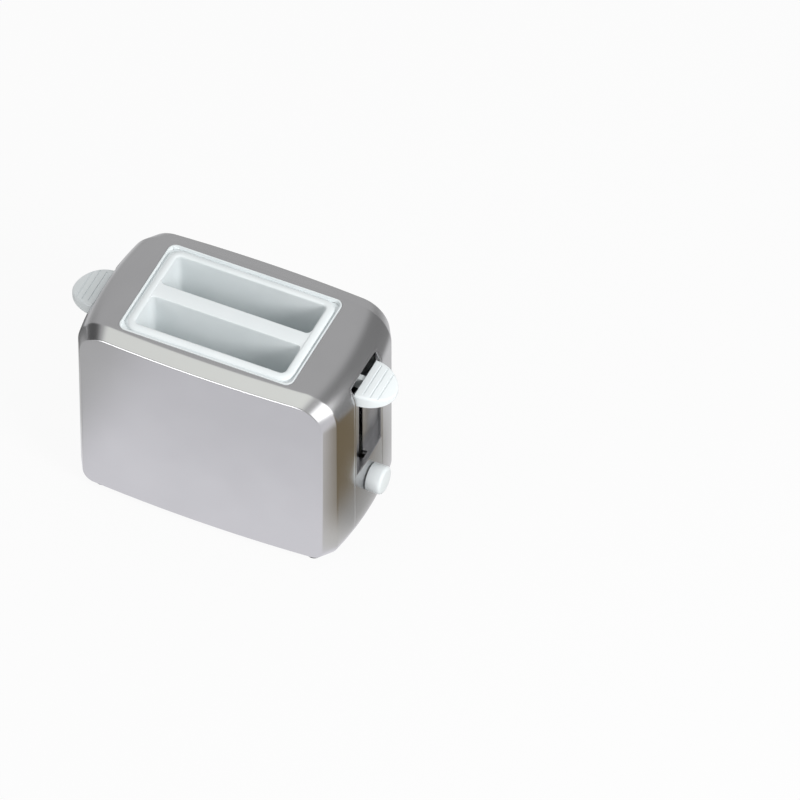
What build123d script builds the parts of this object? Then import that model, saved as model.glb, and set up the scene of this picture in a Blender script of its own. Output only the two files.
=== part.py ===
"""Toy toaster with two toast slots, a sprung lift with a lever at each end, and a timer knob.

Millimetres, +Z up. The origin is on the surface that the feet stand on, under the middle of the
housing. X runs along the slots, with the knob at +X. The front face looks towards -Y.
"""
import os
from math import cos, radians, sin

from build123d import *

os.makedirs("parts", exist_ok=True)

# Housing
timer_bay = 36.7  # from the toast wells to the middle of the bowed end with the timer
plain_bay = 32.1  # from the toast wells to the middle of the other end
top_margin = 11.45  # from the tray's opening to the middle of the bowed front
body_height = 124.0  # without the feet
end_bow = 5.0  # how far an end bulges between its two corners
face_bow = 3.1  # how far the front and the back bulge
top_radius = 19.5
bottom_radius = 10.0
bevel_inset = 3.5  # bevel round the front and back: in from the outline
bevel_depth = 8.5  # and back along the sides
wall = 2.0
seam = 0.2  # gap between fixed pieces that meet
blind_end = 1.0  # material left past the end of a blind bore
over = 1.0  # how far a cutter runs past what it cuts
post_radius = 3.5
post_inset_x = 19.5  # from the middle of the bowed end
post_inset_y = 20.25  # from the middle of the bowed front

# Feet
foot_height = 2.0
foot_radius = 4.0
foot_pad_radius = 5.0
foot_pad_height = 6.0
foot_stem_radius = 1.8
foot_inset_x = 17.0
foot_inset_y = 10.6

# Toast tray
opening_radius = 5.0
slot_length = 90.0
slot_width = 22.5
slot_radius = 3.0
bridge_width = 10.0
bead_width = 5.2  # raised ring round both slots
bead_rise = 0.6  # above the housing
bead_round = 2.2  # of its outer edge
bead_inner_round = 1.2
bridge_drop = 0.4  # below the bead
groove_width = 1.0  # between the bead and the lip
lip_width = 0.9
lip_rise = 0.3
groove_depth = 1.8  # below the housing's top
flange_thickness = 2.0
flange_overlap_x = 3.0  # under the housing's top at the two ends
flange_inset_y = 0.4  # inside the opening at the front and the back
flange_radius = 10.0
well_wall = 1.6

# Base
plate_thickness = 2.0
plate_inset_x = 15.0
plate_inset_y = 14.75
plate_radius = 5.0
vent_length = 15.4
vent_width = 3.0
vent_pitch = 9.0
vents_in_row = 8
rib_height = 4.0
rib_length = 80.0

# Screws: shank and head radius and head height by use
case_screw_shank, case_screw_head, case_screw_head_height = 1.2, 2.4, 1.0
case_screw_length = 12.0
small_screw_shank, small_screw_head, small_screw_head_height = 1.0, 2.0, 1.2
ear_screw_length = 4.6
shelf_screw_length = 8.0
thread_gap = 0.05  # round each shank in its pilot hole

# Lift: guide rods, springs, yokes, shelves and the two levers
landing_gap = 7.0  # under the yokes' legs with the lift down
rod_radius = 1.5
rod_chamfer = 0.3
rod_gap = 5.0  # from the well's end to the rod's axis
rod_boss_radius = 3.6
rod_boss_height = 5.0
rod_top_boss = 3.5
bumper_thickness = 2.3
stop_gap = 0.1  # between a slider and its bumper with the lift up
slide_gap = 0.08  # running clearance on the rods
move_gap = 0.8  # round moving pieces
spring_wire = 0.7
spring_radius = 2.7
spring_turns = 17
spring_seat = 0.1  # between a coil's ends and what they press on
yoke_plate = 3.0
yoke_bar_height = 8.0
slider_half_width = 5.5
slider_half_length = 4.2
slider_height = 20.0
leg_width = 8.0
leg_foot = 2.0  # leg below the shelves' ribs
slot_depth = 58.0  # from the housing's top to the shelves with the lift up
shelf_width = 16.0
shelf_plate = 2.0
shelf_rib_height = 3.0
shelf_rib_width = 1.6
tongue_width = 5.0
window_gap = 0.7  # beside a shelf's tongue in the well's end wall
window_head = 2.0  # above the shelf with the lift up

# Lever ears
ear_inset = 2.6  # of the ear's flat inner face from the middle of the bowed end
ear_reach = 18.3
ear_half_width = 14.8
ear_fall = 13.4  # from the housing's top to the ear's, with the lift up
ear_thickness = 8.7
ear_drop = 4.5  # how far the top falls from the inner face to the tip
ear_edge_round = 1.5
ear_rib_count = 3
ear_rib_pitch = 4.0
ear_rib_width = 1.0
ear_rib_depth = 0.4
ear_rib_half_length = 11.8
arm_thickness = 3.6
arm_height = 7.4
arm_cover = 1.0  # ear above the arm where the arm meets it
tongue_depth = 8.0  # of the arm into the ear
socket_height = 4.6
socket_gap = 0.1

# Lever panels at the ends
panel_half_width = 17.0
panel_rim = 1.4
recess_depth = 5.5  # from the middle of the bowed end to the recess floor
panel_floor_thickness = 2.0
panel_flange = 3.5
panel_flange_thickness = 1.5
panel_flange_low = 14.0
panel_flange_fall = 26.0  # from the housing's top
ledge_gap = 3.5  # under the ear with the lift down
lever_slot_width = 4.8
lever_slot_margin = 1.2
window_fall = 22.0  # from the housing's top to the opening above the ear
ledge_notch_width = 6.0
ledge_notch_depth = 2.5

# Timer: knob, shaft, cam, latch and their bracket
knob_level = 35.0
knob_radius = 8.2
knob_length = 9.0
knob_gap = 0.4
knob_round = 1.2
knob_bore_depth = 5.6
shaft_radius = 2.5
shaft_gap = 0.08
cam_radius = 7.15
cam_throw = 1.35
cam_angle = -135.0  # of the cam's high side at rest, from +Y towards +Z
cam_hub_radius = 4.0
cheek_thickness = 2.0
cheek_gap = 2.5  # between the right slider and the bracket
cheek_span = 14.0  # over both cheeks
cheek_low_y, cheek_high_y = -8.5, 20.5
cheek_top = 48.0
bracket_foot = 2.0
bracket_screw_inset = 3.5
latch_thickness = 4.0
latch_gap = 2.0  # between the first cheek and the latch
pivot_y, pivot_z = 16.0, 43.0
pivot_radius = 1.25
pivot_gap = 0.1
pin_tail = 0.5  # of the latch pin past a cheek
pin_head_radius, pin_head_height = 2.5, 1.2
pin_play = 0.1
latch_swing = 15.0  # degrees, from open to hooked over the tooth
latched_gap = 0.5  # between the tooth and the nose with the lift held down
latch_boss_radius = 3.6
latch_neck = 1.0  # the latch's inner edge above its boss, from the pivot towards the tooth
follower_width = 4.0
follower_half_height = 2.5
follower_gap = 0.2
hook_width = 3.2
hook_overhang = 4.3  # of the nose past the inner edge of its arm
nose_height = 4.0
tooth_reach = 12.4
tooth_height = 4.0
clip_thickness = 0.8
clip_radius = 4.0
clip_groove = 0.5
clip_gap = 0.2  # between the clip's groove and the bracket
clip_play = 0.1
shaft_tail = 1.0  # of the shaft past its clip
latch_spring_wire = 0.6
latch_spring_radius = 2.2
latch_spring_turns = 3
latch_spring_pitch = 0.72

# Places that follow from the sizes above
well_length = slot_length + 2 * well_wall
body_length = plain_bay + well_length + timer_bay
tray_offset = (plain_bay - timer_bay) / 2
ring_width = bead_width + groove_width + lip_width + seam
opening_length = slot_length + 2 * ring_width
opening_width = bridge_width + 2 * (slot_width + ring_width)
body_depth = opening_width + 2 * top_margin
post_spacing_x = body_length - 2 * post_inset_x
post_spacing_y = body_depth - 2 * post_inset_y
foot_spacing_x = body_length - 2 * foot_inset_x
foot_spacing_y = body_depth - 2 * foot_inset_y
plate_length = body_length - 2 * plate_inset_x
plate_width = body_depth - 2 * plate_inset_y
shell_bottom = foot_height
shell_top = shell_bottom + body_height
roof = shell_top - wall
corner_x = body_length / 2 - end_bow
corner_y = body_depth / 2 - face_bow
plate_top = shell_bottom + plate_thickness
slot_centre_y = (bridge_width + slot_width) / 2
slots_half_width = bridge_width / 2 + slot_width
bead_top = shell_top + bead_rise
groove_floor = shell_top - groove_depth
lip_outer_length = opening_length - 2 * seam
lip_outer_width = opening_width - 2 * seam
boss_low = roof - flange_thickness - rod_top_boss
slider_top = boss_low - bumper_thickness - stop_gap
slider_low = slider_top - slider_height
panel_floor = body_length / 2 - recess_depth
panel_flange_high = shell_top - panel_flange_fall
ear_inner = body_length / 2 - ear_inset
ear_top = shell_top - ear_fall
arm_top = ear_top - arm_cover
arm_low = arm_top - arm_height
shelf_level = shell_top - slot_depth
leg_low = shelf_level - shelf_plate - shelf_rib_height - leg_foot
lift_travel = leg_low - plate_top - landing_gap
ledge_level = ear_top - ear_thickness - lift_travel - ledge_gap
knob_back = body_length / 2 + knob_gap
cheek_inner_x = tray_offset + well_length / 2 + rod_gap + slider_half_length + cheek_gap
cheeks = (cheek_inner_x, cheek_inner_x + cheek_span)
latch_x = cheek_inner_x + cheek_thickness + latch_gap
bracket_screw_x = sum(cheeks) / 2
bracket_screw_ys = (cheek_low_y + bracket_screw_inset, cheek_high_y - bracket_screw_inset)
clip_slot = (cheek_inner_x - clip_gap - clip_thickness, cheek_inner_x - clip_gap)
shaft_inner_end = clip_slot[0] - shaft_tail
shaft_outer_end = knob_back + knob_bore_depth - seam
cam_y = cam_throw * cos(radians(cam_angle))
cam_z = knob_level + cam_throw * sin(radians(cam_angle))
follower_y = cam_y + cam_radius + follower_gap
tooth_top_down = arm_low - lift_travel + tooth_height
nose_tip_y = tooth_reach + move_gap
nose_drop = (pivot_y - nose_tip_y) * sin(radians(latch_swing))
nose_low = pivot_z + (tooth_top_down + latched_gap - pivot_z + nose_drop) / cos(radians(latch_swing))


def well_end(side):
    """X of the outer end of the toast wells at one end."""
    return tray_offset + side * well_length / 2


def rod_x(side):
    """X of the guide rod at one end."""
    return well_end(side) + side * rod_gap


def post_places():
    """Centres of the four screw posts."""
    return GridLocations(post_spacing_x, post_spacing_y, 2, 2)


def foot_places():
    """Centres of the four feet."""
    return GridLocations(foot_spacing_x, foot_spacing_y, 2, 2)


def block(x, y, z, mode=Mode.ADD):
    """A box between two values along each axis."""
    with Locations((sum(x) / 2, sum(y) / 2, sum(z) / 2)):
        Box(abs(x[1] - x[0]), abs(y[1] - y[0]), abs(z[1] - z[0]), mode=mode)


def rod(radius, x, y, z, mode=Mode.ADD):
    """An upright cylinder between two heights."""
    with Locations((x, y, sum(z) / 2)):
        Cylinder(radius, z[1] - z[0], mode=mode)


def axle(radius, x, y, z, mode=Mode.ADD):
    """A cylinder along X between two values of x."""
    with Locations((sum(x) / 2, y, z)):
        Cylinder(radius, abs(x[1] - x[0]), rotation=(0, 90, 0), mode=mode)


def housing_form(inset):
    """Solid form of the housing, drawn in by inset all round."""
    with BuildPart() as form:
        with BuildSketch(Plane.XY.offset(shell_bottom + inset)):
            with BuildLine():
                ThreePointArc((-corner_x, -corner_y), (0, -body_depth / 2), (corner_x, -corner_y))
                ThreePointArc((corner_x, -corner_y), (body_length / 2, 0), (corner_x, corner_y))
                ThreePointArc((corner_x, corner_y), (0, body_depth / 2), (-corner_x, corner_y))
                ThreePointArc((-corner_x, corner_y), (-body_length / 2, 0), (-corner_x, -corner_y))
            make_face()
            if inset:
                offset(amount=-inset, kind=Kind.INTERSECTION)
        extrude(amount=body_height - 2 * inset)
        for level, radius in ((-1, top_radius), (0, bottom_radius)):
            rim = form.faces().sort_by(Axis.Z)[level].edges()
            fillet(rim.sort_by(Axis.X)[0], radius - inset)
            rim = form.faces().sort_by(Axis.Z)[level].edges()
            fillet(rim.sort_by(Axis.X)[-1], radius - inset)
        for end in (0, -1):
            face = form.faces().sort_by(Axis.Y)[end]
            chamfer(face.edges(), length=bevel_inset, length2=bevel_depth, reference=face)
    return form.part


outer_form = housing_form(0)
cavity_form = housing_form(wall)
panel_outer_form = housing_form(wall + seam)
panel_inner_form = housing_form(wall + seam + panel_flange_thickness)

# Housing shell: one silver moulding, open below, with a notch in each end for a lever panel
with BuildPart() as body_shell:
    add(outer_form)
    add(cavity_form, mode=Mode.SUBTRACT)
    with BuildSketch(Plane.XY.offset(plate_top)):
        with post_places():
            Circle(post_radius)
    extrude(until=Until.NEXT)
    with BuildSketch(Plane.XY.offset(shell_bottom)):
        with foot_places():
            Circle(foot_pad_radius)
    extrude(amount=foot_pad_height)
    add(outer_form, mode=Mode.INTERSECT)
    with BuildSketch(Plane.XY.offset(shell_bottom)):
        RectangleRounded(plate_length + 2 * seam, plate_width + 2 * seam, plate_radius)
    extrude(amount=plate_thickness, mode=Mode.SUBTRACT)
    with BuildSketch(Plane.XY.offset(roof)):
        with Locations((tray_offset, 0)):
            RectangleRounded(opening_length, opening_width, opening_radius)
    extrude(amount=wall, mode=Mode.SUBTRACT)
    for side in (-1, 1):
        notch_x = (side * (panel_floor + seam), side * body_length)
        block(notch_x, (-panel_half_width - seam, panel_half_width + seam), (0, shell_top), Mode.SUBTRACT)
    with Locations((0, 0, plate_top)):
        with post_places():
            Cylinder(case_screw_shank + thread_gap, case_screw_length, mode=Mode.SUBTRACT,
                     align=(Align.CENTER, Align.CENTER, Align.MIN))
    with Locations((0, 0, shell_bottom)):
        with foot_places():
            Cylinder(foot_stem_radius, foot_pad_height, mode=Mode.SUBTRACT,
                     align=(Align.CENTER, Align.CENTER, Align.MIN))
body_shell.part.label = "body_shell"
export_step(body_shell.part, "parts/body_shell.step")

# Toast tray: one white moulding with the bead, both wells and the upper bosses of the rods
with BuildPart() as slot_tray:
    with BuildSketch(Plane.XY.offset(roof - flange_thickness)):
        with Locations((tray_offset, 0)):
            RectangleRounded(opening_length + 2 * flange_overlap_x, opening_width - 2 * flange_inset_y,
                             flange_radius)
    extrude(amount=flange_thickness)
    with BuildSketch(Plane.XY.offset(roof)):
        with Locations((tray_offset, 0)):
            RectangleRounded(lip_outer_length, lip_outer_width, opening_radius - seam)
    extrude(amount=groove_floor - roof)
    with BuildSketch(Plane.XY.offset(groove_floor)):
        with Locations((tray_offset, 0)):
            RectangleRounded(lip_outer_length, lip_outer_width, opening_radius - seam)
            RectangleRounded(lip_outer_length - 2 * lip_width, lip_outer_width - 2 * lip_width,
                             opening_radius - seam - lip_width, mode=Mode.SUBTRACT)
    extrude(amount=groove_depth + lip_rise)
    with BuildSketch(Plane.XY.offset(groove_floor)):
        with Locations((tray_offset, 0)):
            RectangleRounded(slot_length + 2 * bead_width, 2 * (slots_half_width + bead_width),
                             slot_radius + bead_width)
            RectangleRounded(slot_length, 2 * slots_half_width, slot_radius, mode=Mode.SUBTRACT)
    extrude(amount=groove_depth + bead_rise)
    fillet(slot_tray.faces().sort_by(Axis.Z)[-1].outer_wire().edges(), bead_round)
    fillet(slot_tray.faces().sort_by(Axis.Z)[-1].inner_wires().edges(), bead_inner_round)
    with BuildSketch(Plane.XY.offset(plate_top)):
        with Locations((tray_offset, 0)):
            RectangleRounded(well_length, 2 * (slots_half_width + well_wall),
                             slot_radius + well_wall)
    extrude(amount=roof - flange_thickness - plate_top)
    block((tray_offset - slot_length / 2, tray_offset + slot_length / 2),
          (-bridge_width / 2, bridge_width / 2), (groove_floor, bead_top - bridge_drop))
    with BuildSketch(Plane.XY.offset(plate_top)):
        with Locations((tray_offset, 0)):
            with GridLocations(0, 2 * slot_centre_y, 1, 2):
                RectangleRounded(slot_length, slot_width, slot_radius)
    extrude(amount=body_height, mode=Mode.SUBTRACT)
    hollow = bridge_width / 2 - well_wall
    block((tray_offset - slot_length / 2, tray_offset + slot_length / 2), (-hollow, hollow),
          (plate_top, groove_floor - well_wall), Mode.SUBTRACT)
    for side in (-1, 1):
        rod(rod_boss_radius, rod_x(side), 0, (boss_low, roof - flange_thickness))
        rod(rod_radius + thread_gap, rod_x(side), 0, (boss_low, roof - blind_end), Mode.SUBTRACT)
        window_x = (well_end(side) + side * over, well_end(side) - side * (well_wall + slot_radius))
        for y in (-slot_centre_y, slot_centre_y):
            half = tongue_width / 2 + window_gap
            block(window_x, (y - half, y + half), (plate_top, shelf_level + window_head), Mode.SUBTRACT)
slot_tray.part.label = "slot_tray"
export_step(slot_tray.part, "parts/slot_tray.step")

# Base plate: closes the housing, carries the rods' lower ends and locates the wells
with BuildPart() as base_plate:
    with BuildSketch(Plane.XY.offset(shell_bottom)):
        RectangleRounded(plate_length, plate_width, plate_radius)
    extrude(amount=plate_thickness)
    rib_half = bridge_width / 2 - well_wall - seam
    block((tray_offset - rib_length / 2, tray_offset + rib_length / 2), (-rib_half, rib_half),
          (plate_top, plate_top + rib_height))
    for side in (-1, 1):
        rod(rod_boss_radius, rod_x(side), 0, (plate_top, plate_top + rod_boss_height))
        rod(rod_radius + thread_gap, rod_x(side), 0,
            (shell_bottom + blind_end, plate_top + rod_boss_height), Mode.SUBTRACT)
    with BuildSketch(Plane.XY.offset(shell_bottom)):
        with Locations((tray_offset, 0)):
            with GridLocations(vent_pitch, 2 * slot_centre_y, vents_in_row, 2):
                SlotOverall(vent_length, vent_width, rotation=90)
    extrude(amount=plate_thickness, mode=Mode.SUBTRACT)
    with Locations((0, 0, shell_bottom)):
        with post_places():
            Cylinder(case_screw_head + seam, case_screw_head_height, mode=Mode.SUBTRACT,
                     align=(Align.CENTER, Align.CENTER, Align.MIN))
            Cylinder(case_screw_shank + 2 * thread_gap, plate_thickness, mode=Mode.SUBTRACT,
                     align=(Align.CENTER, Align.CENTER, Align.MIN))
    for y in bracket_screw_ys:
        rod(small_screw_shank + thread_gap, bracket_screw_x, y, (shell_bottom, plate_top), Mode.SUBTRACT)
base_plate.part.label = "base_plate"
export_step(base_plate.part, "parts/base_plate.step")

# Four screws that hold the base plate to the posts of the shell
with BuildPart() as base_screws:
    with Locations((0, 0, shell_bottom)):
        with post_places():
            Cylinder(case_screw_head, case_screw_head_height, align=(Align.CENTER, Align.CENTER, Align.MIN))
            Cylinder(case_screw_shank, case_screw_length, align=(Align.CENTER, Align.CENTER, Align.MIN))
base_screws.part.label = "base_screws"
export_step(base_screws.part, "parts/base_screws.step")

# Four rubber feet with stems pushed into the shell's pads
with BuildPart() as rubber_feet:
    with foot_places():
        Cylinder(foot_radius, foot_height, align=(Align.CENTER, Align.CENTER, Align.MIN))
        Cylinder(foot_stem_radius - thread_gap, foot_height + foot_pad_height - blind_end,
                 align=(Align.CENTER, Align.CENTER, Align.MIN))
rubber_feet.part.label = "rubber_feet"
export_step(rubber_feet.part, "parts/rubber_feet.step")

# One set at each end: panel, guide rod, bumper, return spring, yoke and ear
for end_name, side in (("right", 1), ("left", -1)):
    floor_x = side * panel_floor
    back_x = side * (panel_floor - panel_floor_thickness)
    outside_x = side * body_length
    inner_y = panel_half_width - panel_rim

    # Panel that fills the notch of the shell, with the recess and the slot for the lever
    with BuildPart() as lever_panel:
        add(outer_form)
        add(panel_inner_form, mode=Mode.SUBTRACT)
        block((side * (panel_floor + 2 * seam), outside_x), (-panel_half_width, panel_half_width),
              (0, shell_top), Mode.INTERSECT)
    with BuildPart() as lever_panel_flange:
        add(panel_outer_form)
        add(panel_inner_form, mode=Mode.SUBTRACT)
        flange_y = panel_half_width + panel_flange
        block((back_x, outside_x), (-flange_y, flange_y), (panel_flange_low, panel_flange_high),
              Mode.INTERSECT)
    with BuildPart() as lever_panel_box:
        block((back_x, outside_x), (-panel_half_width, panel_half_width),
              (ledge_level - panel_floor_thickness, shell_top))
        add(outer_form, mode=Mode.INTERSECT)
        block((back_x, floor_x + side * seam), (-panel_half_width, panel_half_width),
              (0, shell_top), Mode.SUBTRACT)
    with BuildPart() as lever_panel_floor:
        add(panel_outer_form)
        block((back_x, floor_x + side * 2 * seam), (-panel_half_width, panel_half_width),
              (ledge_level - panel_floor_thickness, shell_top), Mode.INTERSECT)
    with BuildPart() as panel:
        add(lever_panel.part)
        add(lever_panel_flange.part)
        add(lever_panel_box.part)
        add(lever_panel_floor.part)
        block((floor_x, outside_x), (-inner_y, inner_y), (ledge_level, shell_top), Mode.SUBTRACT)
        slot_half = lever_slot_width / 2
        block((back_x - side * over, floor_x + side * over), (-slot_half, slot_half),
              (ledge_level, arm_top + lever_slot_margin), Mode.SUBTRACT)
        block((back_x - side * over, floor_x + side * over), (-inner_y, inner_y),
              (shell_top - window_fall, shell_top), Mode.SUBTRACT)
        notch_half = ledge_notch_width / 2
        block((floor_x, floor_x + side * ledge_notch_depth), (-notch_half, notch_half),
              (ledge_level - panel_floor_thickness, ledge_level), Mode.SUBTRACT)
        if side > 0:
            axle(shaft_radius + shaft_gap, (0, outside_x), 0, knob_level,
                 Mode.SUBTRACT)
    panel.part.label = "lever_panel_" + end_name
    export_step(panel.part, f"parts/lever_panel_{end_name}.step")

    # Steel guide rod between the base plate and the tray
    with BuildPart() as guide_rod:
        rod(rod_radius, rod_x(side), 0, (shell_bottom + blind_end, roof - blind_end))
        chamfer(guide_rod.edges().filter_by(GeomType.CIRCLE), rod_chamfer)
    guide_rod.part.label = "guide_rod_" + end_name
    export_step(guide_rod.part, f"parts/guide_rod_{end_name}.step")

    # Rubber ring that stops the lift softly at the top
    with BuildPart() as stop_bumper:
        rod(rod_boss_radius, rod_x(side), 0, (boss_low - bumper_thickness, boss_low))
        rod(rod_radius + thread_gap, rod_x(side), 0, (0, shell_top), Mode.SUBTRACT)
    stop_bumper.part.label = "stop_bumper_" + end_name
    export_step(stop_bumper.part, f"parts/stop_bumper_{end_name}.step")

    # Compression spring round the rod, from the base plate's boss to the slider
    spring_low = plate_top + rod_boss_height + spring_seat + spring_wire / 2
    spring_high = slider_low - spring_seat - spring_wire / 2
    spring_pitch = (spring_high - spring_low) / spring_turns
    with BuildPart() as lift_spring:
        with BuildLine() as coil:
            Helix(spring_pitch, spring_high - spring_low, spring_radius, center=(rod_x(side), 0, spring_low))
        with BuildSketch(Plane(origin=coil.line @ 0, z_dir=coil.line % 0)):
            Circle(spring_wire / 2)
        sweep(is_frenet=True)
    lift_spring.part.label = "lift_spring_" + end_name
    export_step(lift_spring.part, f"parts/lift_spring_{end_name}.step")

    # Yoke: slider on the rod, crossbar with two legs for the shelves, arm out to the ear
    plate_x = (well_end(side) + side * move_gap, well_end(side) + side * (move_gap + yoke_plate))
    slider_x = (plate_x[0], rod_x(side) + side * slider_half_length)
    leg_reach = slot_centre_y + leg_width / 2
    with BuildPart() as yoke:
        block(slider_x, (-slider_half_width, slider_half_width), (slider_low, slider_top))
        block(plate_x, (-leg_reach, leg_reach), (arm_low - yoke_bar_height, arm_low))
        for y in (-slot_centre_y, slot_centre_y):
            block(plate_x, (y - leg_width / 2, y + leg_width / 2), (leg_low, arm_low))
            axle(small_screw_shank + thread_gap, plate_x, y, shelf_level - shelf_plate, Mode.SUBTRACT)
        arm_y = (-arm_thickness / 2, arm_thickness / 2)
        block((slider_x[1], side * (ear_inner - seam)), arm_y, (arm_low, arm_top))
        socket_low = arm_top - socket_height - arm_cover
        block((side * (ear_inner - seam), side * (ear_inner + tongue_depth)), arm_y,
              (socket_low, socket_low + socket_height))
        rod(small_screw_shank + thread_gap, side * (ear_inner + tongue_depth / 2), 0,
            (arm_low, socket_low + socket_height - blind_end), Mode.SUBTRACT)
        if side > 0:
            block((latch_x, latch_x + latch_thickness), (0, tooth_reach), (arm_low, arm_low + tooth_height))
        rod(rod_radius + slide_gap, rod_x(side), 0, (0, shell_top), Mode.SUBTRACT)
    yoke.part.label = "lift_yoke_" + end_name
    export_step(yoke.part, f"parts/lift_yoke_{end_name}.step")

    # Ear: half-oval press pad whose top falls away to the tip, with three grip grooves
    ear_low = ear_top - ear_thickness
    dome_radius = (ear_reach ** 2 + ear_drop ** 2) / (2 * ear_drop)
    with BuildPart() as ear:
        with BuildSketch(Plane.XY.offset(ear_low)):
            with Locations((side * ear_inner, 0)):
                Ellipse(ear_reach, ear_half_width)
                with Locations((-side * ear_reach / 2, 0)):
                    Rectangle(ear_reach, 2 * ear_half_width, mode=Mode.SUBTRACT)
        extrude(amount=ear_thickness)
        with Locations((side * ear_inner, 0, ear_top - dome_radius)):
            Cylinder(dome_radius, 2 * (ear_half_width + over), rotation=(90, 0, 0), mode=Mode.INTERSECT)
        rim_edges = ear.edges().filter_by(lambda edge: abs(edge.center().X) > ear_inner + ear_reach / 3)
        fillet(rim_edges, ear_edge_round)
        for count in range(ear_rib_count):
            rib_x = side * (ear_inner + (count + 1) * ear_rib_pitch)
            rib_top = ear_top - dome_radius + (dome_radius ** 2 - (rib_x - side * ear_inner) ** 2) ** 0.5
            block((rib_x - ear_rib_width / 2, rib_x + ear_rib_width / 2),
                  (-ear_rib_half_length, ear_rib_half_length), (rib_top - ear_rib_depth, ear_top),
                  Mode.SUBTRACT)
        gap_y = arm_thickness / 2 + socket_gap
        block((side * ear_inner, side * (ear_inner + tongue_depth + socket_gap)), (-gap_y, gap_y),
              (socket_low - socket_gap, socket_low + socket_height + socket_gap), Mode.SUBTRACT)
        screw_x = side * (ear_inner + tongue_depth / 2)
        rod(small_screw_shank + thread_gap, screw_x, 0, (ear_low, socket_low), Mode.SUBTRACT)
        rod(small_screw_head + seam, screw_x, 0, (ear_low, ear_low + small_screw_head_height), Mode.SUBTRACT)
    ear.part.label = "lever_ear_" + end_name
    export_step(ear.part, f"parts/lever_ear_{end_name}.step")

# Screws from below that hold each ear to its arm
with BuildPart() as ear_screws:
    for side in (-1, 1):
        screw_x = side * (ear_inner + tongue_depth / 2)
        rod(small_screw_head, screw_x, 0, (ear_low, ear_low + small_screw_head_height))
        rod(small_screw_shank, screw_x, 0, (ear_low, ear_low + ear_screw_length))
ear_screws.part.label = "ear_screws"
export_step(ear_screws.part, "parts/ear_screws.step")

# Shelves that carry the slices, one in each well, fixed to both yokes
for place, y in (("front", -slot_centre_y), ("back", slot_centre_y)):
    shelf_low = shelf_level - shelf_plate - shelf_rib_height
    reach = slot_length / 2 - move_gap
    with BuildPart() as shelf:
        block((tray_offset - reach, tray_offset + reach), (y - shelf_width / 2, y + shelf_width / 2),
              (shelf_level - shelf_plate, shelf_level))
        for rib_y in (y - shelf_width / 2 + shelf_rib_width, y + shelf_width / 2 - shelf_rib_width):
            block((tray_offset - reach, tray_offset + reach),
                  (rib_y - shelf_rib_width / 2, rib_y + shelf_rib_width / 2),
                  (shelf_low, shelf_level - shelf_plate))
        block((well_end(-1) - move_gap, well_end(1) + move_gap),
              (y - tongue_width / 2, y + tongue_width / 2), (shelf_low, shelf_level))
        for side in (-1, 1):
            tip = well_end(side) + side * move_gap
            axle(small_screw_shank + thread_gap, (tip - side * (shelf_screw_length - yoke_plate), tip), y,
                 shelf_level - shelf_plate, Mode.SUBTRACT)
    shelf.part.label = "bread_shelf_" + place
    export_step(shelf.part, f"parts/bread_shelf_{place}.step")

# Screws that hold the shelves to the yokes
with BuildPart() as shelf_screws:
    for side in (-1, 1):
        seat = well_end(side) + side * (move_gap + yoke_plate)
        for y in (-slot_centre_y, slot_centre_y):
            head_end = seat + side * small_screw_head_height
            axle(small_screw_head, (seat, head_end), y, shelf_level - shelf_plate)
            axle(small_screw_shank, (seat, seat - side * shelf_screw_length), y, shelf_level - shelf_plate)
shelf_screws.part.label = "shelf_screws"
export_step(shelf_screws.part, "parts/shelf_screws.step")

# Bracket of the timer: a foot and two cheeks that carry the knob's shaft and the latch pin
with BuildPart() as timer_bracket:
    block(cheeks, (cheek_low_y, cheek_high_y), (plate_top, plate_top + bracket_foot))
    for near, far in ((cheeks[0], cheeks[0] + cheek_thickness), (cheeks[1] - cheek_thickness, cheeks[1])):
        block((near, far), (cheek_low_y, cheek_high_y), (plate_top, cheek_top))
    axle(shaft_radius + shaft_gap, (cheeks[0] - over, cheeks[1] + over), 0, knob_level, Mode.SUBTRACT)
    axle(pivot_radius + thread_gap, (cheeks[0] - over, cheeks[1] + over), pivot_y, pivot_z, Mode.SUBTRACT)
    for y in bracket_screw_ys:
        rod(small_screw_shank + thread_gap, bracket_screw_x, y, (plate_top, plate_top + bracket_foot),
            Mode.SUBTRACT)
timer_bracket.part.label = "timer_bracket"
export_step(timer_bracket.part, "parts/timer_bracket.step")

# Pin that the latch turns on, with a head
with BuildPart() as latch_pin:
    axle(pivot_radius, (cheeks[0] - pin_tail, cheeks[1] + pin_tail), pivot_y, pivot_z)
    axle(pin_head_radius, (cheeks[0] - pin_play - pin_head_height, cheeks[0] - pin_play), pivot_y, pivot_z)
latch_pin.part.label = "latch_pin"
export_step(latch_pin.part, "parts/latch_pin.step")

# Coil that keeps the latch's lower end on the cam
with BuildPart() as latch_spring:
    coil_start = (latch_x + latch_thickness + latch_spring_pitch, pivot_y, pivot_z)
    with BuildLine() as coil:
        Helix(latch_spring_pitch, latch_spring_turns * latch_spring_pitch, latch_spring_radius,
              center=coil_start, direction=(1, 0, 0))
    with BuildSketch(Plane(origin=coil.line @ 0, z_dir=coil.line % 0)):
        Circle(latch_spring_wire / 2)
    sweep(is_frenet=True)
latch_spring.part.label = "latch_spring"
export_step(latch_spring.part, "parts/latch_spring.step")

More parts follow.
